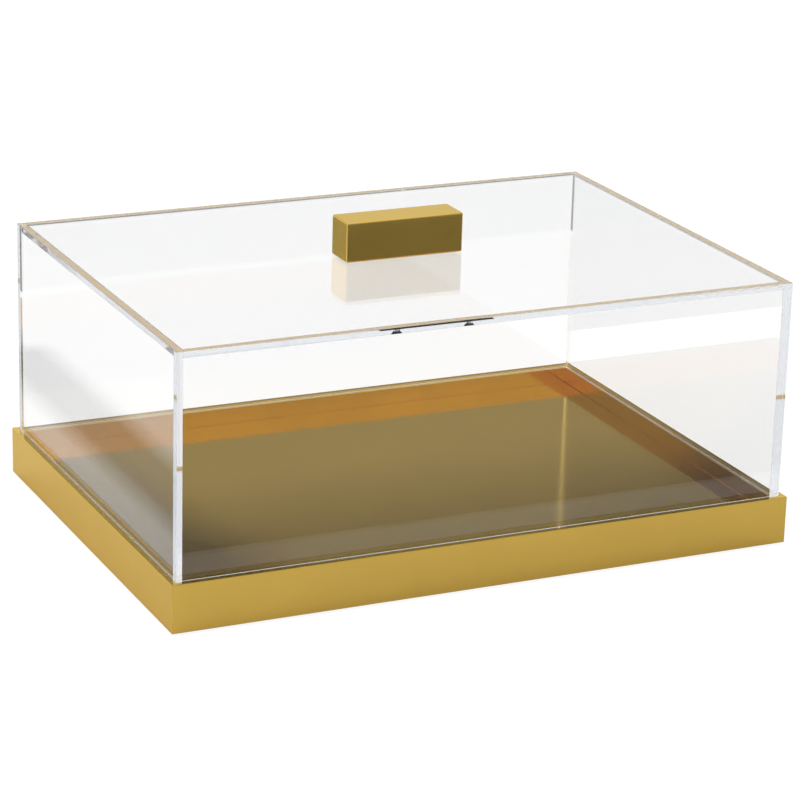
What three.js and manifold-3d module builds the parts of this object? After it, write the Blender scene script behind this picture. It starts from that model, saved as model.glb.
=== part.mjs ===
// Rectangular cake stand with a lift-off clear cover, in millimetres, +Z up.
// The origin is the centre of the stand's footprint, on the surface that its feet rest on.
// +X runs along the stand's longer side and -Y is its front.

import * as THREE from 'three';
import { mergeVertices } from 'three/addons/utils/BufferGeometryUtils.js';
import Module from 'manifold-3d';

const wasm = await Module();
wasm.setup();

// ---------------------------------------------------------------- driving dimensions

const standWidth = 420;
const standDepth = 300;

// Rail: a hollow extrusion that makes the four sides of the stand. Its top has an outer lip
// and, inside the lip, a lower seat as wide as the cover's walls.
const railHeight = 31;
const railWall = 2;
const lipWidth = 3.5;
const seatDepth = 1;
const ledgeReach = 8;
const ledgeThickness = 2;
const flangeReach = 12;
const flangeThickness = 2;

// Tray plate: it lies on the rails' ledges, below the rim.
const trayDepth = 12;
const plateThickness = 2;
const plateClearance = 0.3;

// Underside board and the ribs that carry the plate on it.
const boardThickness = 4;
const boardClearance = 0.5;
const ribWidth = 12;
const ribSpacing = 140;
const ribEndClearance = 0.5;

// Corner keys: angles glued into the hollow rails where two of them meet.
const keyLeg = 30;
const keyClearance = 0.3;
const keyHeadroom = 1;

// Round rubber feet under the front and back rails.
const footRadius = 6;
const footHeight = 2;
const footEdgeRound = 0.5;
const footEndInset = 30;
const footSideInset = 14;

// Cover: five acrylic panels, the top one set between the four walls.
const coverClearance = 0.5;
const coverHeight = 143;
const acrylicThickness = 5;

// Handle: a solid bar on the middle of the top panel.
const handleLength = 81;
const handleDepth = 24;
const handleHeight = 26;
const handleChamfer = 1.2;
const handleScrewSpacing = 50;

// Countersunk screws: shaft radius, head radius and hexagon socket.
const m3Screw = { shaft: 1.5, head: 2.8, socket: 1.15, socketDepth: 1 };
const m4Screw = { shaft: 2, head: 4, socket: 1.45, socketDepth: 1.6 };
const screwClearance = 0.3;
const holeEndClearance = 0.4;
const tipCover = 1;
const handleThreadDepth = 11;
const boardScrewEndInset = 75;
const boardScrewSideInset = 15;

// Cutting tools run past the face they cut by this much.
const toolOvershoot = 1;
const roundSegments = 16;

// ---------------------------------------------------------------- heights and outlines

const railBottom = footHeight;
const railTop = railBottom + railHeight;
const seatTop = railTop - seatDepth;
const flangeTop = railBottom + flangeThickness;
const plateTop = railTop - trayDepth;
const plateBottom = plateTop - plateThickness;
const ledgeBottom = plateBottom - ledgeThickness;
const boardTop = flangeTop + boardThickness;

const railWidth = lipWidth + coverClearance + acrylicThickness;
const ledgeEnd = railWidth + ledgeReach;
const flangeEnd = railWidth + flangeReach;
const insideWidth = standWidth - 2 * railWidth;
const insideDepth = standDepth - 2 * railWidth;

const chamberBottom = railBottom + railWall;
const chamberTop = seatTop - railWall;
const chamberEnd = railWidth - railWall;

const coverWidth = insideWidth + 2 * acrylicThickness;
const coverDepth = insideDepth + 2 * acrylicThickness;
const coverTop = seatTop + coverHeight;

// The board's screws end a little short of its top face.
const boardScrew = { ...m3Screw, length: flangeThickness + boardThickness - tipCover };
const handleScrew = { ...m4Screw, length: acrylicThickness + handleThreadDepth };

// ---------------------------------------------------------------- materials

function metal(color, roughness) {
  return new THREE.MeshStandardMaterial({ color, roughness, metalness: 1 });
}

function plain(color, roughness) {
  return new THREE.MeshStandardMaterial({ color, roughness, metalness: 0 });
}

function goldAnodised() {
  return metal(0xc9a65a, 0.38);
}

function clearAcrylic() {
  const material = plain(0xf2f4f5, 0.03);
  material.transparent = true;
  material.opacity = 0.25;
  return material;
}

function screwSteel() {
  return metal(0xb8babd, 0.3);
}

// ---------------------------------------------------------------- solids

function solidOf(geometry) {
  const bare = geometry.clone();
  bare.deleteAttribute('normal');
  bare.deleteAttribute('uv');
  const merged = mergeVertices(bare);
  const vertProperties = new Float32Array(merged.attributes.position.array);
  const triVerts = new Uint32Array(merged.index.array);
  return new wasm.Manifold(new wasm.Mesh({ numProp: 3, vertProperties, triVerts }));
}

function geometryOf(solid) {
  const result = solid.getMesh();
  const geometry = new THREE.BufferGeometry();
  geometry.setAttribute('position', new THREE.BufferAttribute(result.vertProperties, 3));
  geometry.setIndex(new THREE.BufferAttribute(result.triVerts, 1));
  return geometry;
}

function cut(geometry, tools) {
  let solid = solidOf(geometry);
  for (const tool of tools) {
    solid = solid.subtract(solidOf(tool));
  }
  return geometryOf(solid);
}

function outline(points) {
  return new THREE.Shape(points.map(([x, y]) => new THREE.Vector2(x, y)));
}

function block(width, depth, height) {
  return new THREE.BoxGeometry(width, depth, height);
}

// A lathed solid about Z. The profile is a list of [radius, height], lowest first.
function lathed(profile) {
  const points = profile.map(([radius, height]) => new THREE.Vector2(radius, height));
  return new THREE.LatheGeometry(points, roundSegments).rotateX(Math.PI / 2);
}

// A quarter turn about Z, or several, made by swapping coordinates so that they stay exact.
function quarterTurned(geometry, turns) {
  const turned = geometry.clone();
  const position = turned.attributes.position;
  for (let i = 0; i < position.count; i += 1) {
    let x = position.getX(i);
    let y = position.getY(i);
    for (let turn = 0; turn < turns; turn += 1) {
      [x, y] = [-y, x];
    }
    position.setX(i, x);
    position.setY(i, y);
  }
  return turned;
}

// ---------------------------------------------------------------- screws and their holes

// A countersunk screw that points up: its head's flat face is at z = 0.
function screwGeometry(screw) {
  const headDepth = screw.head - screw.shaft;
  const tip = screw.shaft / 2;
  const body = lathed([
    [0, 0],
    [screw.head, 0],
    [screw.shaft, headDepth],
    [screw.shaft, screw.length - tip],
    [screw.shaft - tip, screw.length],
    [0, screw.length],
  ]);
  const socketLength = screw.socketDepth + toolOvershoot;
  const socket = new THREE.CylinderGeometry(screw.socket, screw.socket, socketLength, 6);
  socket.rotateX(Math.PI / 2);
  socket.translate(0, 0, screw.socketDepth - socketLength / 2);
  return cut(body, [socket]);
}

// The space that such a screw takes, with its clearance, open below the head.
function screwHole(screw) {
  const headDepth = screw.head - screw.shaft;
  const head = screw.head + screwClearance;
  const shaft = screw.shaft + screwClearance;
  return lathed([
    [0, -toolOvershoot],
    [head, -toolOvershoot],
    [head, 0],
    [shaft, headDepth],
    [shaft, screw.length + holeEndClearance],
    [0, screw.length + holeEndClearance],
  ]);
}

// ---------------------------------------------------------------- places of the screws

// Every screw points up. Each place is the middle of its head's flat face.
function boardScrewPlaces() {
  const places = [];
  const x = standWidth / 2 - boardScrewEndInset;
  const y = standDepth / 2 - boardScrewSideInset;
  for (const side of [-1, 1]) {
    for (const step of [-1, 0, 1]) {
      places.push([step * x, side * y, railBottom]);
    }
    places.push([side * (standWidth / 2 - boardScrewSideInset), 0, railBottom]);
  }
  return places;
}

function handleScrewPlaces() {
  return [-1, 1].map((side) => [side * handleScrewSpacing / 2, 0, coverTop - acrylicThickness]);
}

function holesFor(screw, places) {
  return places.map((place) => screwHole(screw).translate(...place));
}

const corners = [
  { name: 'front_left', x: -1, y: -1, turns: 0 },
  { name: 'front_right', x: 1, y: -1, turns: 1 },
  { name: 'back_right', x: 1, y: 1, turns: 2 },
  { name: 'back_left', x: -1, y: 1, turns: 3 },
];

// ---------------------------------------------------------------- stand

// The front rail's section: x is the distance in from the outer face, y is the height.
function railSection() {
  const section = outline([
    [0, railBottom],
    [flangeEnd, railBottom],
    [flangeEnd, flangeTop],
    [railWidth, flangeTop],
    [railWidth, ledgeBottom],
    [ledgeEnd, ledgeBottom],
    [ledgeEnd, plateBottom],
    [railWidth, plateBottom],
    [railWidth, seatTop],
    [lipWidth, seatTop],
    [lipWidth, railTop],
    [0, railTop],
  ]);
  section.holes.push(outline([
    [railWall, chamberBottom],
    [chamberEnd, chamberBottom],
    [chamberEnd, chamberTop],
    [railWall, chamberTop],
  ]));
  return section;
}

// A rail along X whose outer face is at -distance on Y. Its ends are mitred: each end
// point is drawn in by as much as it lies in from the outer face.
function mitredRail(length, distance) {
  const geometry = new THREE.ExtrudeGeometry(railSection(), { depth: length, bevelEnabled: false });
  const position = geometry.attributes.position;
  for (let i = 0; i < position.count; i += 1) {
    const inward = position.getX(i);
    const height = position.getY(i);
    const end = position.getZ(i) > length / 2 ? 1 : -1;
    position.setXYZ(i, end * (length / 2 - inward), inward - distance, height);
  }
  return geometry;
}

function railGeometry(length, distance, turns) {
  const rail = quarterTurned(mitredRail(length, distance), turns);
  return cut(rail, holesFor(boardScrew, boardScrewPlaces()));
}

function trayPlateGeometry() {
  const width = insideWidth - 2 * plateClearance;
  const depth = insideDepth - 2 * plateClearance;
  return block(width, depth, plateThickness).translate(0, 0, plateTop - plateThickness / 2);
}

function undersideBoardGeometry() {
  const width = insideWidth - 2 * boardClearance;
  const depth = insideDepth - 2 * boardClearance;
  const board = block(width, depth, boardThickness).translate(0, 0, boardTop - boardThickness / 2);
  return cut(board, holesFor(boardScrew, boardScrewPlaces()));
}

function ribGeometry() {
  const length = standDepth - 2 * (ledgeEnd + ribEndClearance);
  const height = plateBottom - boardTop;
  return block(ribWidth, length, height);
}

// An angle inside the hollow rails at the corner whose two sides are x and y.
function cornerKeyGeometry({ x, y, turns }) {
  const thickness = chamberEnd - railWall - 2 * keyClearance;
  const height = chamberTop - chamberBottom - keyHeadroom;
  const angle = new THREE.ExtrudeGeometry(outline([
    [0, 0],
    [keyLeg, 0],
    [keyLeg, thickness],
    [thickness, thickness],
    [thickness, keyLeg],
    [0, keyLeg],
  ]), { depth: height, bevelEnabled: false });
  const inset = railWall + keyClearance;
  const placed = quarterTurned(angle, turns);
  return placed.translate(
    x * (standWidth / 2 - inset),
    y * (standDepth / 2 - inset),
    chamberBottom,
  );
}

function footGeometry() {
  return lathed([
    [0, 0],
    [footRadius - footEdgeRound, 0],
    [footRadius, footEdgeRound],
    [footRadius, footHeight],
    [0, footHeight],
  ]);
}

// ---------------------------------------------------------------- cover

function topPanelGeometry() {
  const panel = block(insideWidth, insideDepth, acrylicThickness);
  panel.translate(0, 0, coverTop - acrylicThickness / 2);
  return cut(panel, holesFor(handleScrew, handleScrewPlaces()));
}

function handleGeometry() {
  const x = handleLength / 2 - handleChamfer;
  const y = handleDepth / 2 - handleChamfer;
  const section = outline([
    [handleChamfer - x, -y],
    [x - handleChamfer, -y],
    [x, handleChamfer - y],
    [x, y - handleChamfer],
    [x - handleChamfer, y],
    [handleChamfer - x, y],
    [-x, y - handleChamfer],
    [-x, handleChamfer - y],
  ]);
  const bar = new THREE.ExtrudeGeometry(section, {
    depth: handleHeight - 2 * handleChamfer,
    bevelThickness: handleChamfer,
    bevelSize: handleChamfer,
    bevelSegments: 1,
  });
  bar.translate(0, 0, coverTop + handleChamfer);
  return cut(bar, holesFor(handleScrew, handleScrewPlaces()));
}

// ---------------------------------------------------------------- assembly

function piece(name, geometry, material) {
  const mesh = new THREE.Mesh(geometry, material);
  mesh.name = name;
  return mesh;
}

function screwPieces(prefix, screw, places) {
  return places.map((place, index) => {
    const mesh = piece(`${prefix}_${index + 1}`, screwGeometry(screw), screwSteel());
    mesh.position.set(...place);
    return mesh;
  });
}

function frameRails() {
  const group = new THREE.Group();
  const rails = [
    ['front', standWidth, standDepth / 2, 0],
    ['right', standDepth, standWidth / 2, 1],
    ['back', standWidth, standDepth / 2, 2],
    ['left', standDepth, standWidth / 2, 3],
  ];
  for (const [side, length, distance, turns] of rails) {
    group.add(piece(`base_rail_${side}`, railGeometry(length, distance, turns), goldAnodised()));
  }
  return group;
}

function cornerKeys() {
  const group = new THREE.Group();
  const castMetal = metal(0x9fa2a6, 0.5);
  for (const corner of corners) {
    group.add(piece(`corner_key_${corner.name}`, cornerKeyGeometry(corner), castMetal));
  }
  return group;
}

function trayFloor() {
  const group = new THREE.Group();
  group.add(piece('tray_plate', trayPlateGeometry(), goldAnodised()));
  for (const [name, side] of [['left', -1], ['right', 1]]) {
    const rib = piece(`tray_rib_${name}`, ribGeometry(), plain(0xb98f5e, 0.75));
    rib.position.set(side * ribSpacing / 2, 0, (plateBottom + boardTop) / 2);
    group.add(rib);
  }
  return group;
}

function underside() {
  const group = new THREE.Group();
  group.add(piece('underside_board', undersideBoardGeometry(), plain(0x1c1c1d, 0.7)));
  group.add(...screwPieces('board_screw', boardScrew, boardScrewPlaces()));
  for (const { name, x, y } of corners) {
    const foot = piece(`foot_${name}`, footGeometry(), plain(0x202022, 0.85));
    foot.position.set(x * (standWidth / 2 - footEndInset), y * (standDepth / 2 - footSideInset), 0);
    group.add(foot);
  }
  return group;
}

function coverPanels() {
  const group = new THREE.Group();
  const wallMiddle = seatTop + coverHeight / 2;
  const longWallAt = (coverDepth - acrylicThickness) / 2;
  const shortWallAt = (coverWidth - acrylicThickness) / 2;
  for (const [name, side] of [['front', -1], ['back', 1]]) {
    const wall = block(coverWidth, acrylicThickness, coverHeight);
    wall.translate(0, side * longWallAt, wallMiddle);
    group.add(piece(`cover_panel_${name}`, wall, clearAcrylic()));
  }
  for (const [name, side] of [['left', -1], ['right', 1]]) {
    const wall = block(acrylicThickness, insideDepth, coverHeight);
    wall.translate(side * shortWallAt, 0, wallMiddle);
    group.add(piece(`cover_panel_${name}`, wall, clearAcrylic()));
  }
  group.add(piece('cover_panel_top', topPanelGeometry(), clearAcrylic()));
  return group;
}

function handle() {
  const group = new THREE.Group();
  group.add(piece('handle_bar', handleGeometry(), goldAnodised()));
  group.add(...screwPieces('handle_screw', handleScrew, handleScrewPlaces()));
  return group;
}

const cakeStand = new THREE.Group();
cakeStand.add(frameRails());
cakeStand.add(cornerKeys());
cakeStand.add(trayFloor());
cakeStand.add(underside());
cakeStand.add(coverPanels());
cakeStand.add(handle());

export default cakeStand;
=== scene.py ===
# Rectangular cake stand with a clear lift-off cover: the visible pieces, their materials,
# the studio around them and the camera. Lengths are in metres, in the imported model's frame.

import math

import bmesh
import bpy
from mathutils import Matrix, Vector
from mathutils.geometry import tessellate_polygon


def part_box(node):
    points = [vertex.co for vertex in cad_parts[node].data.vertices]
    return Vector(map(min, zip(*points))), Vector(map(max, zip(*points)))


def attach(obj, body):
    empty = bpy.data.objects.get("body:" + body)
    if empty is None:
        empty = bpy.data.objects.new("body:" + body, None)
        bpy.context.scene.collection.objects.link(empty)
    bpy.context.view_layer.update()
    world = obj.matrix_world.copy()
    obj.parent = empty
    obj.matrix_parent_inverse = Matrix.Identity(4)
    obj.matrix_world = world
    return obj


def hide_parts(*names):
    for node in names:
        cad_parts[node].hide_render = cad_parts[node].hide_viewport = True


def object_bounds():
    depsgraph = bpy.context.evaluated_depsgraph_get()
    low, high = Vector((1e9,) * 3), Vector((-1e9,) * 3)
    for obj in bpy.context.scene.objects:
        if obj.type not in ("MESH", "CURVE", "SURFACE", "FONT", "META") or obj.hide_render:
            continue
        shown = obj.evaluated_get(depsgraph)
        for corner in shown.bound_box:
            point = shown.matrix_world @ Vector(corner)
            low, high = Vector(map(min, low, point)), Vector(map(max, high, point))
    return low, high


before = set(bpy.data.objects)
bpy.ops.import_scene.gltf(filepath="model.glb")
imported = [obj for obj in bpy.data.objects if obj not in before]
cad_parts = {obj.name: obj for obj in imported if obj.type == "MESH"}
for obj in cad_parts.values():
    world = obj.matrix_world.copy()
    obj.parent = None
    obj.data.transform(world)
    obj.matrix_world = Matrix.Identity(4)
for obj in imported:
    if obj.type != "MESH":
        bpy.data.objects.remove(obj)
cad_box = [[float(v) for v in corner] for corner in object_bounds()]

MM = 0.001

# ---------------------------------------------------------------- sizes

# Edge roundings of the visible pieces.
RAIL_CORNER = 0.4 * MM
RAIL_EDGE = 0.25 * MM
RAIL_INNER_EDGE = 0.25 * MM
RAIL_HIDDEN_EDGE = 0.2 * MM
PLATE_EDGE = 0.4 * MM
ACRYLIC_EDGE = 0.2 * MM
HANDLE_EDGE = 1.2 * MM
FOOT_EDGE = 0.5 * MM

# Parts of the rail's section that no box gives.
RAIL_WALL = 2 * MM
FLANGE_THICKNESS = 2 * MM
LEDGE_THICKNESS = 2 * MM
LEDGE_REACH = 8 * MM
COVER_PLAY = 0.5 * MM

# The acrylic panels stand this far apart at their welds, and this far above the seat.
WELD_GAP = 0.04 * MM

# Screws: shaft radius, head radius, socket radius, socket depth.
M3_SCREW = (1.5 * MM, 2.8 * MM, 1.15 * MM, 1.0 * MM)
M4_SCREW = (2.0 * MM, 4.0 * MM, 1.45 * MM, 1.6 * MM)
SCREW_PLAY = 0.3 * MM
HOLE_END_PLAY = 0.4 * MM

SCREW_CHAMFER = 0.15 * MM
SOCKET_POINT = 0.9

ARC_STEPS = 4
ROUND_STEPS = 48

# Points nearer than this are one point.
MERGE = 1e-7
LEVEL = 1e-6


# ---------------------------------------------------------------- mesh helpers


SHARP_ANGLE = math.radians(35.0)
FLAT_WEIGHT = 100


def mesh_object(name, bm):
    """An object from a bmesh, smooth where its faces meet at less than SHARP_ANGLE."""
    bmesh.ops.remove_doubles(bm, verts=bm.verts, dist=MERGE)
    bmesh.ops.recalc_face_normals(bm, faces=bm.faces)
    mesh = bpy.data.meshes.new(name)
    bm.to_mesh(mesh)
    bm.free()
    for polygon in mesh.polygons:
        polygon.use_smooth = True
    mesh.set_sharp_from_angle(angle=SHARP_ANGLE)
    made = bpy.data.objects.new(name, mesh)
    bpy.context.scene.collection.objects.link(made)
    flat_first = made.modifiers.new("flat_faces_first", "WEIGHTED_NORMAL")
    flat_first.keep_sharp = True
    flat_first.weight = FLAT_WEIGHT
    return made


def add_band(bm, lower, upper):
    """Quads between two closed rings with as many points."""
    count = len(lower)
    for i in range(count):
        j = (i + 1) % count
        corners = [lower[i], lower[j], upper[j], upper[i]]
        bm.faces.new(corners)


def add_cap(bm, rings):
    """A flat face inside the first ring with the other rings as its holes."""
    if len(rings) == 1:
        bm.faces.new(rings[0])
        return
    points = [vert for ring in rings for vert in ring]
    loops = [[vert.co.copy() for vert in ring] for ring in rings]
    for triangle in tessellate_polygon(loops):
        if len(set(triangle)) == 3:
            bm.faces.new([points[i] for i in triangle])


def filleted(points):
    """A closed outline of (x, y) from (x, y, radius) corners."""
    outline = []
    count = len(points)
    for i, (x, y, radius) in enumerate(points):
        corner = Vector((x, y))
        if radius <= 0:
            outline.append(corner)
            continue
        before = (Vector(points[i - 1][:2]) - corner).normalized()
        after = (Vector(points[(i + 1) % count][:2]) - corner).normalized()
        centre = corner + (before + after) * radius
        for step in range(ARC_STEPS + 1):
            turn = math.pi / 2 * step / ARC_STEPS
            outward = -after * math.cos(turn) - before * math.sin(turn)
            outline.append(centre + outward * radius)
    return outline


def rectangle_ring(low, high, radius, inset):
    """Plan points of a rounded rectangle, drawn in by inset."""
    points = []
    reach = max(radius - inset, 0)
    middle = max(radius, inset)
    corners = [
        (low[0] + middle, low[1] + middle, math.pi),
        (high[0] - middle, low[1] + middle, 1.5 * math.pi),
        (high[0] - middle, high[1] - middle, 0),
        (low[0] + middle, high[1] - middle, 0.5 * math.pi),
    ]
    for x, y, start in corners:
        for step in range(ARC_STEPS + 1):
            turn = start + math.pi / 2 * step / ARC_STEPS
            points.append((x + reach * math.cos(turn), y + reach * math.sin(turn)))
    return points


def circle_ring(centre, radius, steps=ROUND_STEPS, sides=0):
    """Plan points of a circle, or of a regular polygon spread over as many points."""
    points = []
    for i in range(steps):
        turn = 2 * math.pi * i / steps
        reach = radius
        if sides:
            sector = 2 * math.pi / sides
            reach *= math.cos(sector / 2) / math.cos(turn % sector - sector / 2)
        points.append((centre[0] + reach * math.cos(turn), centre[1] + reach * math.sin(turn)))
    return points


def ring_verts(bm, plan, z):
    return [bm.verts.new((x, y, z)) for x, y in plan]


def rounded_slab(name, low, high, edge, holes=()):
    """A slab with all its edges rounded. A hole is (x, y, [(radius, z), ...]), upwards."""
    bm = bmesh.new()
    levels = []
    for step in range(ARC_STEPS + 1):
        turn = math.pi / 2 * step / ARC_STEPS
        levels.append((edge * (1 - math.sin(turn)), edge * (1 - math.cos(turn))))
    heights = [(inset, low[2] + rise) for inset, rise in levels]
    heights += [(inset, high[2] - rise) for inset, rise in reversed(levels)]
    rings = []
    for inset, z in heights:
        rings.append(ring_verts(bm, rectangle_ring(low, high, edge, inset), z))
    for lower, upper in zip(rings, rings[1:]):
        add_band(bm, lower, upper)
    bottom = [rings[0]]
    top = [rings[-1]]
    for x, y, profile in holes:
        walls = [ring_verts(bm, circle_ring((x, y), radius), z) for radius, z in profile]
        for lower, upper in zip(walls, walls[1:]):
            add_band(bm, lower, upper)
        bottom.append(walls[0])
        if abs(profile[-1][1] - high[2]) < LEVEL:
            top.append(walls[-1])
        else:
            bm.faces.new(walls[-1])
    for ring_set in (bottom, top):
        for ring in ring_set:
            bmesh.ops.remove_doubles(bm, verts=ring, dist=MERGE)
    bottom = [[v for v in ring if v.is_valid] for ring in bottom]
    top = [[v for v in ring if v.is_valid] for ring in top]
    add_cap(bm, bottom)
    add_cap(bm, top)
    return mesh_object(name, bm)


def lathed(name, centre, profile):
    """A solid about a vertical line. The profile is (radius, z, sides), lowest first."""
    bm = bmesh.new()
    rings = []
    for radius, z, sides in profile:
        rings.append(ring_verts(bm, circle_ring(centre, radius, sides=sides), centre[2] + z))
    for lower, upper in zip(rings, rings[1:]):
        add_band(bm, lower, upper)
    bm.faces.new(rings[0])
    bm.faces.new(rings[-1])
    return mesh_object(name, bm)


# ---------------------------------------------------------------- node helpers


# Sockets of a colour Mix node.
MIX_FIRST, MIX_SECOND, MIX_RESULT = 6, 7, 2


class Nodes:
    """A material's node tree with short calls to make and join its nodes."""

    def __init__(self, name):
        self.material = bpy.data.materials.new(name)
        self.material.use_nodes = True
        self.tree = self.material.node_tree
        self.tree.nodes.clear()
        self.output = self.add("ShaderNodeOutputMaterial")

    def add(self, kind, **settings):
        node = self.tree.nodes.new(kind)
        for key, value in settings.items():
            if hasattr(node, key):
                setattr(node, key, value)
            else:
                node.inputs[key.replace("_", " ")].default_value = value
        return node

    def join(self, source, target):
        self.tree.links.new(source, target)

    def place(self):
        return self.add("ShaderNodeTexCoord").outputs["Object"]

    def stretched(self, scale):
        mapping = self.add("ShaderNodeMapping")
        mapping.inputs["Scale"].default_value = scale
        self.join(self.place(), mapping.inputs["Vector"])
        return mapping.outputs["Vector"]

    def noise(self, scale, detail=3.0, roughness=0.5, vector=None):
        noise = self.add("ShaderNodeTexNoise")
        noise.inputs["Scale"].default_value = scale
        noise.inputs["Detail"].default_value = detail
        noise.inputs["Roughness"].default_value = roughness
        self.join(vector or self.place(), noise.inputs["Vector"])
        return noise.outputs["Fac"]

    def spread(self, value, low, high, start=0.3, end=0.7):
        spread = self.add("ShaderNodeMapRange")
        for name, number in (
            ("From Min", start),
            ("From Max", end),
            ("To Min", low),
            ("To Max", high),
        ):
            spread.inputs[name].default_value = number
        self.join(value, spread.inputs["Value"])
        return spread.outputs["Result"]

    def between(self, factor, first, second):
        mix = self.add("ShaderNodeMix", data_type="RGBA")
        self.join(factor, mix.inputs["Factor"])
        mix.inputs[MIX_FIRST].default_value = (*first, 1)
        mix.inputs[MIX_SECOND].default_value = (*second, 1)
        return mix.outputs[MIX_RESULT]

    def math(self, operation, *values):
        node = self.add("ShaderNodeMath", operation=operation)
        for socket, value in zip(node.inputs, values):
            if isinstance(value, (int, float)):
                socket.default_value = value
            else:
                self.join(value, socket)
        return node.outputs[0]

    def bump(self, height, strength, distance):
        bump = self.add("ShaderNodeBump")
        bump.inputs["Strength"].default_value = strength
        bump.inputs["Distance"].default_value = distance
        self.join(height, bump.inputs["Height"])
        return bump.outputs["Normal"]


def scaled(colour, factor):
    return tuple(min(channel * factor, 1.0) for channel in colour)


CLOUD_SCALE, CLOUD_CONTRAST = 18, 0.025
WEAR_SCALE = 75
GRAIN_SCALE, GRAIN_STRENGTH, GRAIN_DEPTH = 4200, 0.03, 0.02 * MM
MARK_SCALE, MARK_STRENGTH, MARK_DEPTH = 900, 0.15, 0.04 * MM


def gold(name, colour, edge, smoothest, roughest):
    """Satin anodised aluminium with a very fine grain and soft clouds of sheen."""
    nodes = Nodes(name)
    shader = nodes.add("ShaderNodeBsdfPrincipled", Metallic=1.0)
    shader.inputs["Specular Tint"].default_value = (*edge, 1)
    clouds = nodes.noise(CLOUD_SCALE, detail=2)
    darker, lighter = scaled(colour, 1 - CLOUD_CONTRAST), scaled(colour, 1 + CLOUD_CONTRAST)
    nodes.join(
        nodes.between(nodes.spread(clouds, 0, 1), darker, lighter), shader.inputs["Base Color"]
    )
    wear = nodes.noise(WEAR_SCALE, detail=5, roughness=0.6)
    nodes.join(nodes.spread(wear, smoothest, roughest), shader.inputs["Roughness"])
    grain = nodes.noise(GRAIN_SCALE, detail=2)
    nodes.join(nodes.bump(grain, GRAIN_STRENGTH, GRAIN_DEPTH), shader.inputs["Normal"])
    nodes.join(shader.outputs[0], nodes.output.inputs["Surface"])
    return nodes.material


def steel(name, colour, smoothest, roughest):
    """Plain metal with turned or cast marks."""
    nodes = Nodes(name)
    shader = nodes.add("ShaderNodeBsdfPrincipled", Metallic=1.0)
    marks = nodes.noise(MARK_SCALE, detail=4, roughness=0.6)
    nodes.join(
        nodes.between(nodes.spread(marks, 0, 1), scaled(colour, 0.9), scaled(colour, 1.08)),
        shader.inputs["Base Color"],
    )
    nodes.join(nodes.spread(marks, smoothest, roughest), shader.inputs["Roughness"])
    nodes.join(nodes.bump(marks, MARK_STRENGTH, MARK_DEPTH), shader.inputs["Normal"])
    nodes.join(shader.outputs[0], nodes.output.inputs["Surface"])
    return nodes.material


ACRYLIC_IOR = 1.49
SHEET_COLOURS = ((0.992, 0.995, 0.996), (0.998, 0.999, 0.999))
SHADOW_COLOUR = (0.93, 0.935, 0.94, 1)
WAVE_SCALE, WAVE_STRENGTH, WAVE_DEPTH = 14, 0.05, 0.4 * MM
DEPTH_COLOUR = (0.8, 0.82, 0.86, 1)
DEPTH_DENSITY = 3.0


def acrylic(name):
    """Clear cast sheet: smooth, very slightly wavy, and greyer where light runs along it."""
    nodes = Nodes(name)
    shader = nodes.add("ShaderNodeBsdfPrincipled", Roughness=0.0, IOR=ACRYLIC_IOR)
    shader.inputs["Transmission Weight"].default_value = 1.0
    shader.inputs["Specular IOR Level"].default_value = 0.4
    tint = nodes.noise(6, detail=1)
    nodes.join(
        nodes.between(tint, *SHEET_COLOURS),
        shader.inputs["Base Color"],
    )
    waves = nodes.noise(WAVE_SCALE, detail=1)
    nodes.join(nodes.bump(waves, WAVE_STRENGTH, WAVE_DEPTH), shader.inputs["Normal"])
    clear = nodes.add("ShaderNodeBsdfTransparent", Color=SHADOW_COLOUR)
    path = nodes.add("ShaderNodeLightPath")
    mix = nodes.add("ShaderNodeMixShader")
    nodes.join(path.outputs["Is Shadow Ray"], mix.inputs[0])
    nodes.join(shader.outputs[0], mix.inputs[1])
    nodes.join(clear.outputs[0], mix.inputs[2])
    nodes.join(mix.outputs[0], nodes.output.inputs["Surface"])
    inside = nodes.add("ShaderNodeVolumeAbsorption", Density=DEPTH_DENSITY, Color=DEPTH_COLOUR)
    nodes.join(inside.outputs[0], nodes.output.inputs["Volume"])
    return nodes.material


def fibrous(name, dark, light, scale, roughness, relief):
    """Wood or hardboard: streaks along the longer way of the scale."""
    nodes = Nodes(name)
    shader = nodes.add("ShaderNodeBsdfPrincipled")
    streaks = nodes.noise(1.0, detail=6, roughness=0.65, vector=nodes.stretched(scale))
    nodes.join(nodes.between(nodes.spread(streaks, 0, 1), dark, light), shader.inputs["Base Color"])
    nodes.join(
        nodes.spread(streaks, roughness - 0.08, roughness + 0.08), shader.inputs["Roughness"]
    )
    nodes.join(nodes.bump(streaks, 0.3, relief), shader.inputs["Normal"])
    nodes.join(shader.outputs[0], nodes.output.inputs["Surface"])
    return nodes.material


# ---------------------------------------------------------------- materials

base_gold = gold("base_gold", (0.72, 0.475, 0.1), (1.0, 0.94, 0.72), 0.09, 0.13)
handle_gold = gold("handle_gold", (0.71, 0.48, 0.108), (1.0, 0.93, 0.7), 0.09, 0.13)
clear_acrylic = acrylic("clear_acrylic")
key_metal = steel("key_metal", (0.6, 0.61, 0.62), 0.4, 0.6)
screw_steel = steel("screw_steel", (0.6, 0.61, 0.62), 0.22, 0.38)
rib_wood = fibrous("rib_wood", (0.4, 0.26, 0.13), (0.62, 0.44, 0.24), (900, 25, 900), 0.65, 0.0002)
board_black = fibrous(
    "board_black", (0.012, 0.012, 0.013), (0.03, 0.03, 0.031), (500, 500, 500), 0.62, 0.00008
)
foot_rubber = fibrous(
    "foot_rubber", (0.018, 0.018, 0.02), (0.034, 0.034, 0.036), (1800, 1800, 1800), 0.8, 0.00006
)

# ---------------------------------------------------------------- stand

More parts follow.
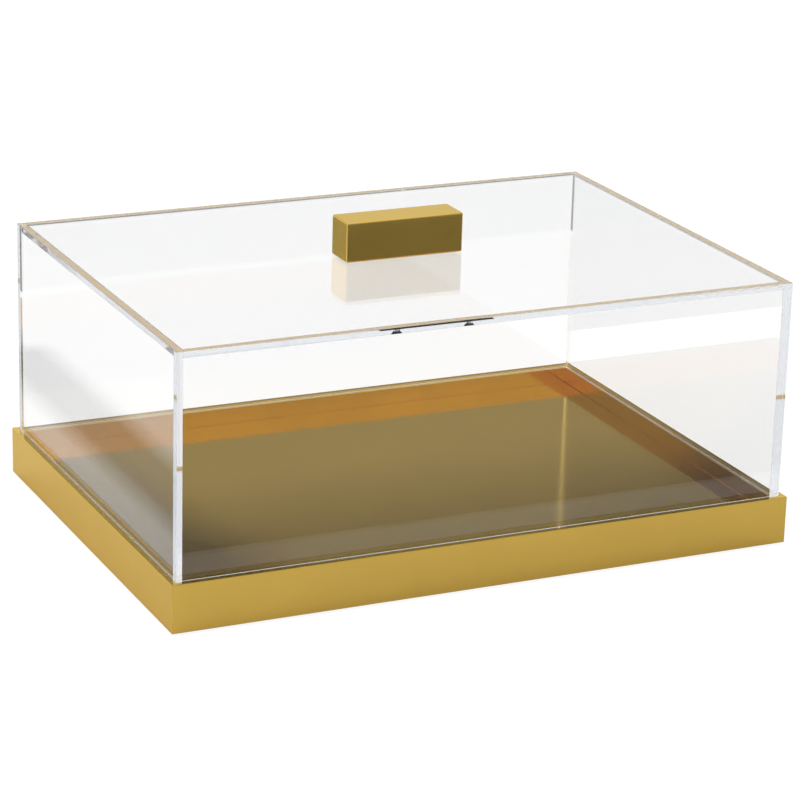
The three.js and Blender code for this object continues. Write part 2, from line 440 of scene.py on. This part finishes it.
low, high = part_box("base_rail_front")
cover_low, cover_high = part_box("cover_panel_front")
plate_low, plate_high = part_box("tray_plate")
outer_low = Vector((cad_box[0][0], cad_box[0][1], low.z))
outer_high = Vector((cad_box[1][0], cad_box[1][1], high.z))
rail_width = cover_high.y - outer_low.y
lip_width = cover_low.y - outer_low.y - COVER_PLAY
seat_top = cover_low.z
flange_end = high.y - low.y


def rail_outline():
    """The rail's section, (inward, height), and its hollow."""
    rail_bottom, rail_top = low.z, high.z
    flange_top = rail_bottom + FLANGE_THICKNESS
    ledge_top = plate_low.z
    ledge_end = rail_width + LEDGE_REACH
    outside = filleted(
        [
            (0, rail_bottom, RAIL_EDGE),
            (flange_end, rail_bottom, RAIL_HIDDEN_EDGE),
            (flange_end, flange_top, RAIL_HIDDEN_EDGE),
            (rail_width, flange_top, 0),
            (rail_width, ledge_top - LEDGE_THICKNESS, 0),
            (ledge_end, ledge_top - LEDGE_THICKNESS, 0),
            (ledge_end, ledge_top, 0),
            (rail_width, ledge_top, 0),
            (rail_width, seat_top, RAIL_INNER_EDGE),
            (lip_width, seat_top, 0),
            (lip_width, rail_top, RAIL_HIDDEN_EDGE),
            (0, rail_top, RAIL_EDGE),
        ]
    )
    hollow = filleted(
        [
            (RAIL_WALL, rail_bottom + RAIL_WALL, 0),
            (rail_width - RAIL_WALL, rail_bottom + RAIL_WALL, 0),
            (rail_width - RAIL_WALL, seat_top - RAIL_WALL, 0),
            (RAIL_WALL, seat_top - RAIL_WALL, 0),
        ]
    )
    return outside, hollow


def rail(name, middle, along, inward, length):
    """One mitred side of the stand. Its outer corners are rounded up to the mitres."""
    bm = bmesh.new()
    outlines = rail_outline()
    stations = [(step, end) for end in (0, 1) for step in range(ARC_STEPS + 1)]
    rows = []
    for step, end in stations:
        share = 1 - step / ARC_STEPS if end == 0 else step / ARC_STEPS
        turn = math.pi / 4 * share
        loops = []
        for outline in outlines:
            loop = []
            for depth, height in outline:
                reach = RAIL_CORNER - depth
                if reach > 0:
                    from_end = RAIL_CORNER - reach * math.sin(turn)
                    inwards = RAIL_CORNER - reach * math.cos(turn)
                else:
                    from_end = inwards = depth
                side = -1 if end == 0 else 1
                place = middle + along * side * (length / 2 - from_end) + inward * inwards
                loop.append(bm.verts.new((place.x, place.y, height)))
            loops.append(loop)
        rows.append(loops)
    for first, second in zip(rows, rows[1:]):
        for one, other in zip(first, second):
            add_band(bm, one, other)
    for loops in (rows[0], rows[-1]):
        flat = [[Vector((*point, 0)) for point in outline] for outline in outlines]
        points = [vert for loop in loops for vert in loop]
        for triangle in tessellate_polygon(flat):
            bm.faces.new([points[i] for i in triangle])
    return mesh_object(name, bm)


width = outer_high.x - outer_low.x
depth = outer_high.y - outer_low.y
sides = [
    ("front", Vector((0, outer_low.y)), Vector((1, 0)), Vector((0, 1)), width),
    ("right", Vector((outer_high.x, 0)), Vector((0, 1)), Vector((-1, 0)), depth),
    ("back", Vector((0, outer_high.y)), Vector((-1, 0)), Vector((0, -1)), width),
    ("left", Vector((outer_low.x, 0)), Vector((0, -1)), Vector((1, 0)), depth),
]


def finish_piece(piece, body, slot, material, *nodes):
    """Gives a new piece its material, parents it to its body and hides the CAD nodes it replaces.
    """
    piece.data.materials.append(material)
    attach(piece, body)
    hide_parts(*nodes)
    return piece


for side, middle, along, inward, length in sides:
    piece = rail(f"rail_{side}", middle, along, inward, length)
    finish_piece(piece, "base", "gold_anodised", base_gold, f"base_rail_{side}")

plate = rounded_slab("tray_floor", plate_low, plate_high, PLATE_EDGE)
finish_piece(plate, "base", "gold_anodised", base_gold, "tray_plate")

for name in ("front_left", "front_right", "back_left", "back_right"):
    foot_low, foot_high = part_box(f"foot_{name}")
    centre = (foot_low + foot_high) / 2
    radius = (foot_high.x - foot_low.x) / 2
    profile = []
    for step in range(ARC_STEPS + 1):
        turn = math.pi / 2 * step / ARC_STEPS
        profile.append(
            (radius - FOOT_EDGE * (1 - math.sin(turn)), FOOT_EDGE * (1 - math.cos(turn)), 0)
        )
    profile.append((radius, foot_high.z, 0))
    foot = lathed(f"rubber_{name}", (centre.x, centre.y, foot_low.z), profile)
    finish_piece(foot, "base", "foot_rubber", foot_rubber, f"foot_{name}")


def screw(name, node, sizes):
    """A countersunk screw that points up, with a hexagon socket."""
    shaft, head, socket, socket_depth = sizes
    low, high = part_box(node)
    length = high.z - low.z
    centre = (low + high) / 2
    return lathed(
        name,
        (centre.x, centre.y, low.z),
        [
            (socket * SOCKET_POINT, socket_depth, 6),
            (socket, socket_depth - SCREW_CHAMFER, 6),
            (socket, SCREW_CHAMFER, 6),
            (socket + SCREW_CHAMFER, 0, 6),
            (head - SCREW_CHAMFER, 0, 0),
            (head, SCREW_CHAMFER, 0),
            (shaft, head - shaft, 0),
            (shaft, length - shaft / 2, 0),
            (shaft / 2, length, 0),
        ],
    )


for i in range(1, 9):
    piece = screw(f"board_bolt_{i}", f"board_screw_{i}", M3_SCREW)
    finish_piece(piece, "base", "screw_steel", screw_steel, f"board_screw_{i}")

# ---------------------------------------------------------------- cover

top_low, top_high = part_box("cover_panel_top")
handle_low, handle_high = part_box("handle_bar")
sunk_holes = []
blind_holes = []
shaft, head, _, _ = M4_SCREW
for i in (1, 2):
    screw_low, screw_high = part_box(f"handle_screw_{i}")
    centre = (screw_low + screw_high) / 2
    wide, narrow = head + SCREW_PLAY, shaft + SCREW_PLAY
    sunk_holes.append(
        (
            centre.x,
            centre.y,
            [(wide, top_low.z), (narrow, top_low.z + head - shaft), (narrow, top_high.z)],
        )
    )
    hole_end = screw_high.z + HOLE_END_PLAY
    blind_holes.append((centre.x, centre.y, [(narrow, handle_low.z), (narrow, hole_end)]))
    piece = screw(f"handle_bolt_{i}", f"handle_screw_{i}", M4_SCREW)
    finish_piece(piece, "cover", "screw_steel", screw_steel, f"handle_screw_{i}")

inset = Vector((WELD_GAP, WELD_GAP, 0))
piece = rounded_slab("panel_top", top_low + inset, top_high - inset, ACRYLIC_EDGE, sunk_holes)
finish_piece(piece, "cover", "clear_acrylic", clear_acrylic, "cover_panel_top")
for side in ("front", "back"):
    low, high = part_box(f"cover_panel_{side}")
    inset = Vector((0, 0, WELD_GAP))
    piece = rounded_slab(f"panel_{side}", low + inset, high, ACRYLIC_EDGE)
    finish_piece(piece, "cover", "clear_acrylic", clear_acrylic, f"cover_panel_{side}")
for side in ("left", "right"):
    low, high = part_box(f"cover_panel_{side}")
    inset = Vector((0, WELD_GAP, 0))
    raised = low + inset + Vector((0, 0, WELD_GAP))
    piece = rounded_slab(f"panel_{side}", raised, high - inset, ACRYLIC_EDGE)
    finish_piece(piece, "cover", "clear_acrylic", clear_acrylic, f"cover_panel_{side}")

piece = rounded_slab("handle", handle_low, handle_high, HANDLE_EDGE, blind_holes)
finish_piece(piece, "cover", "gold_anodised", handle_gold, "handle_bar")

# ---------------------------------------------------------------- carried-over CAD nodes

for node, material in (
    ("underside_board", board_black),
    ("tray_rib_left", rib_wood),
    ("tray_rib_right", rib_wood),
    ("corner_key_front_left", key_metal),
    ("corner_key_front_right", key_metal),
    ("corner_key_back_left", key_metal),
    ("corner_key_back_right", key_metal),
):
    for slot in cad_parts[node].material_slots:
        slot.material = material

# ---------------------------------------------------------------- floor, cards and world

# The camera sees a white floor: this share of its look is its own white, the rest is lit.
FLOOR_SIZE = 12.0
FLOOR_GREYS = ((0.79, 0.79, 0.79), (0.81, 0.81, 0.81))
FLOOR_LIFT = 0.78
FLOOR_WHITE = 1.18

# Painted dark reflections: zones of the floor that glow dimly for reflected rays only, so the gold
# mirrors them darker. Each has x and y ranges, soft edge and tone.
LEFT_REFLECTION_SHADE = ((-0.3, -0.275), (-0.13, 0.4), 0.02, 0.3)
HANDLE_SIDE_REFLECTION_SHADE = ((-0.36, -0.18), (0.38, 0.68), 0.03, 0.12)

# Glowing grey cards that only reflected rays meet: painted reflections, bright or dark by their
# tone, in the gold and the acrylic. Each has a name, the x of its ends, its y, its height, its
# lower and upper tone, the heights between which the tone changes, the heights over which the card
# ends, and whether it is for rays that crossed two panels or for all others.
CARDS = (
    ("painted_reflection_behind", (-0.15, 0.75), 0.3, 0.4, (0.86, 0.86), (0, 1), (0.36, 0.4), False),
    ("painted_reflection_rim", (-0.3, 0.75), 0.31, 0.4, (0.34, 0.15), (0.13, 0.19), (0.36, 0.4), True),
    ("painted_reflection_front", (-0.6, 1.0), -0.26, 0.5, (0.4, 0.4), (0, 1), (0.45, 0.5), False),
    ("painted_reflection_inside", (-0.6, 1.0), -0.27, 0.5, (0.03, 0.85), (0.12, 0.16), (0.45, 0.5), True),
)

# The rim's card is darker where gloss on the left rim meets it: x less this much of the height.
RIM_CARD = "painted_reflection_rim"
RIM_LEAN = 1.25
RIM_EDGE = (-0.24, -0.19)
RIM_SHADE = 0.25

# A reflection counts from the first bounce to the second. Two panels have four faces.
NO_BOUNCE = 0.5
TWO_BOUNCES = 2.5
TWO_PANELS = 3.5


def reflected(nodes, path, through=None):
    """1 for rays that one or two surfaces reflected. Through picks them by the panels crossed."""
    depth = path.outputs["Glossy Depth"]
    some = nodes.math("GREATER_THAN", depth, NO_BOUNCE)
    few = nodes.math("MULTIPLY", some, nodes.math("LESS_THAN", depth, TWO_BOUNCES))
    if through is None:
        return few
    compare = "GREATER_THAN" if through else "LESS_THAN"
    crossed = nodes.math(compare, path.outputs["Transmission Depth"], TWO_PANELS)
    return nodes.math("MULTIPLY", few, crossed)


def zone(nodes, parts, across, along, soft):
    """1 on a rectangle of the floor, with a soft edge outside it."""
    inside = 1.0
    for axis, (start, end) in (("X", across), ("Y", along)):
        value = parts.outputs[axis]
        inside = nodes.math("MULTIPLY", inside, nodes.spread(value, 0, 1, start - soft, start))
        inside = nodes.math("MULTIPLY", inside, nodes.spread(value, 1, 0, end, end + soft))
    return inside


def floor_material():
    """A pale floor. It looks white and keeps its shadow, and gloss meets dark zones on it, which
    paint darker reflections into the gold.
    """
    nodes = Nodes("floor")
    path = nodes.add("ShaderNodeLightPath")
    grain = nodes.noise(300, detail=3)
    diffuse = nodes.add("ShaderNodeBsdfDiffuse")
    nodes.join(nodes.between(grain, *FLOOR_GREYS), diffuse.inputs["Color"])
    lift = nodes.add("ShaderNodeEmission", Strength=FLOOR_WHITE)
    seen = nodes.math("MAXIMUM", path.outputs["Is Camera Ray"], path.outputs["Is Transmission Ray"])
    share = nodes.math("MULTIPLY", seen, FLOOR_LIFT)
    mix = nodes.add("ShaderNodeMixShader")
    nodes.join(share, mix.inputs[0])
    nodes.join(diffuse.outputs[0], mix.inputs[1])
    nodes.join(lift.outputs[0], mix.inputs[2])
    parts = nodes.add("ShaderNodeSeparateXYZ")
    nodes.join(nodes.place(), parts.inputs[0])
    # Painted dark reflections: in each zone, reflected rays meet a dim glow in place of the lit
    # floor.
    for limits, through in ((LEFT_REFLECTION_SHADE, False), (HANDLE_SIDE_REFLECTION_SHADE, True)):
        across, along, soft, tone = limits
        shape = zone(nodes, parts, across, along, soft)
        reflection_shade_mask = nodes.math("MULTIPLY", shape, reflected(nodes, path, through))
        dark = nodes.add("ShaderNodeEmission", Strength=tone)
        before, mix = mix, nodes.add("ShaderNodeMixShader")
        nodes.join(reflection_shade_mask, mix.inputs[0])
        nodes.join(before.outputs[0], mix.inputs[1])
        nodes.join(dark.outputs[0], mix.inputs[2])
    nodes.join(mix.outputs[0], nodes.output.inputs["Surface"])
    return nodes.material


bm = bmesh.new()
bmesh.ops.create_grid(bm, x_segments=1, y_segments=1, size=FLOOR_SIZE / 2)
floor = mesh_object("floor", bm)
floor.data.materials.append(floor_material())


def painted_reflection_card(name, ends, y, height, tones, ramp, fade, through):
    """An upright glowing card that only reflected rays meet: a painted reflection, bright or dark
    by its tone.
    """
    nodes = Nodes(name)
    parts = nodes.add("ShaderNodeSeparateXYZ")
    nodes.join(nodes.place(), parts.inputs[0])
    gone = nodes.spread(parts.outputs["Z"], 0, 1, *fade)
    # The card's glow is a painted reflection: its strength is the tone that the gold and the
    # acrylic mirror.
    reflection_glow = nodes.add("ShaderNodeEmission", Color=(1, 1, 1, 1))
    tone = nodes.spread(parts.outputs["Z"], *tones, *ramp)
    if name == RIM_CARD:
        lean = nodes.math("MULTIPLY", parts.outputs["Z"], RIM_LEAN)
        across = nodes.math("SUBTRACT", parts.outputs["X"], lean)
        tone = nodes.math("MULTIPLY", tone, nodes.spread(across, RIM_SHADE, 1, *RIM_EDGE))
    nodes.join(tone, reflection_glow.inputs["Strength"])
    clear = nodes.add("ShaderNodeBsdfTransparent")
    path = nodes.add("ShaderNodeLightPath")
    straight = nodes.math("SUBTRACT", 1.0, reflected(nodes, path, through))
    mix = nodes.add("ShaderNodeMixShader")
    nodes.join(nodes.math("MAXIMUM", gone, straight), mix.inputs[0])
    nodes.join(reflection_glow.outputs[0], mix.inputs[1])
    nodes.join(clear.outputs[0], mix.inputs[2])
    nodes.join(mix.outputs[0], nodes.output.inputs["Surface"])
    bm = bmesh.new()
    left, right = ends
    corners = [(left, y, 0), (right, y, 0), (right, y, height), (left, y, height)]
    bm.faces.new([bm.verts.new(corner) for corner in corners])
    card = mesh_object(name, bm)
    card.data.materials.append(nodes.material)
    card.visible_camera = False
    card.visible_diffuse = False
    card.visible_shadow = False


for card in CARDS:
    painted_reflection_card(*card)

# Light from all round on matt surfaces. Gloss, glass and the camera see plain white.
WORLD_FILL = 0.5

world = bpy.data.worlds.new("studio")
bpy.context.scene.world = world
world.use_nodes = True
tree = world.node_tree
tree.nodes.clear()
output = tree.nodes.new("ShaderNodeOutputWorld")
white = tree.nodes.new("ShaderNodeBackground")
fill = tree.nodes.new("ShaderNodeBackground")
fill.inputs["Strength"].default_value = WORLD_FILL
path = tree.nodes.new("ShaderNodeLightPath")
mix = tree.nodes.new("ShaderNodeMixShader")
tree.links.new(path.outputs["Is Diffuse Ray"], mix.inputs[0])
tree.links.new(white.outputs[0], mix.inputs[1])
tree.links.new(fill.outputs[0], mix.inputs[2])
tree.links.new(mix.outputs[0], output.inputs["Surface"])
for background in (white, fill):
    background.inputs["Color"].default_value = (1, 1, 1, 1)

# ---------------------------------------------------------------- lamps


def softbox(name, place, aim, size, power):
    """A square lamp that lights matt surfaces and shows in no gloss."""
    data = bpy.data.lights.new(name, "AREA")
    data.shape = "SQUARE"
    data.size = size
    data.energy = power
    lamp = bpy.data.objects.new(name, data)
    lamp.location = place
    lamp.rotation_euler = (Vector(aim) - Vector(place)).to_track_quat("-Z", "Y").to_euler()
    lamp.visible_glossy = lamp.visible_transmission = False
    bpy.context.scene.collection.objects.link(lamp)


softbox("overhead", place=(-0.3, 0.2, 1.9), aim=(0, 0, 0), size=2.6, power=24)
softbox("left", place=(-1.8, -0.4, 1.0), aim=(0, 0, 0.1), size=1.6, power=13)

# ---------------------------------------------------------------- camera

CAMERA_PLACE = Vector((-0.8208, -1.7517, 0.7307))
CAMERA_AZIMUTH = math.radians(25.24)
CAMERA_FALL = math.radians(18.71)
CAMERA_ROLL = math.radians(1.58)
CAMERA_LENS = 141.5

data = bpy.data.cameras.new("camera")
data.lens = CAMERA_LENS
data.sensor_width = 36
data.clip_end = 50
camera = bpy.data.objects.new("camera", data)
forward = Vector(
    (
        math.sin(CAMERA_AZIMUTH) * math.cos(CAMERA_FALL),
        math.cos(CAMERA_AZIMUTH) * math.cos(CAMERA_FALL),
        -math.sin(CAMERA_FALL),
    )
)
camera.location = CAMERA_PLACE
turned = forward.to_track_quat("-Z", "Y").to_matrix()
right, up = turned.col[0].copy(), turned.col[1].copy()
across = right * math.cos(CAMERA_ROLL) + up * math.sin(CAMERA_ROLL)
upward = up * math.cos(CAMERA_ROLL) - right * math.sin(CAMERA_ROLL)
for column, axis in enumerate((across, upward, -forward)):
    turned.col[column] = axis
camera.rotation_euler = turned.to_euler()
bpy.context.scene.collection.objects.link(camera)
bpy.context.scene.camera = camera

# ---------------------------------------------------------------- render settings

# Light runs along inside the acrylic sheets, so their edges need many bounces.
SHEET_BOUNCES = 256
PANEL_BOUNCES = 64
CARD_BOUNCES = 32

scene = bpy.context.scene
scene.view_settings.view_transform = "Standard"
scene.cycles.max_bounces = SHEET_BOUNCES
scene.cycles.transmission_bounces = PANEL_BOUNCES
scene.cycles.glossy_bounces = SHEET_BOUNCES
scene.cycles.transparent_max_bounces = CARD_BOUNCES
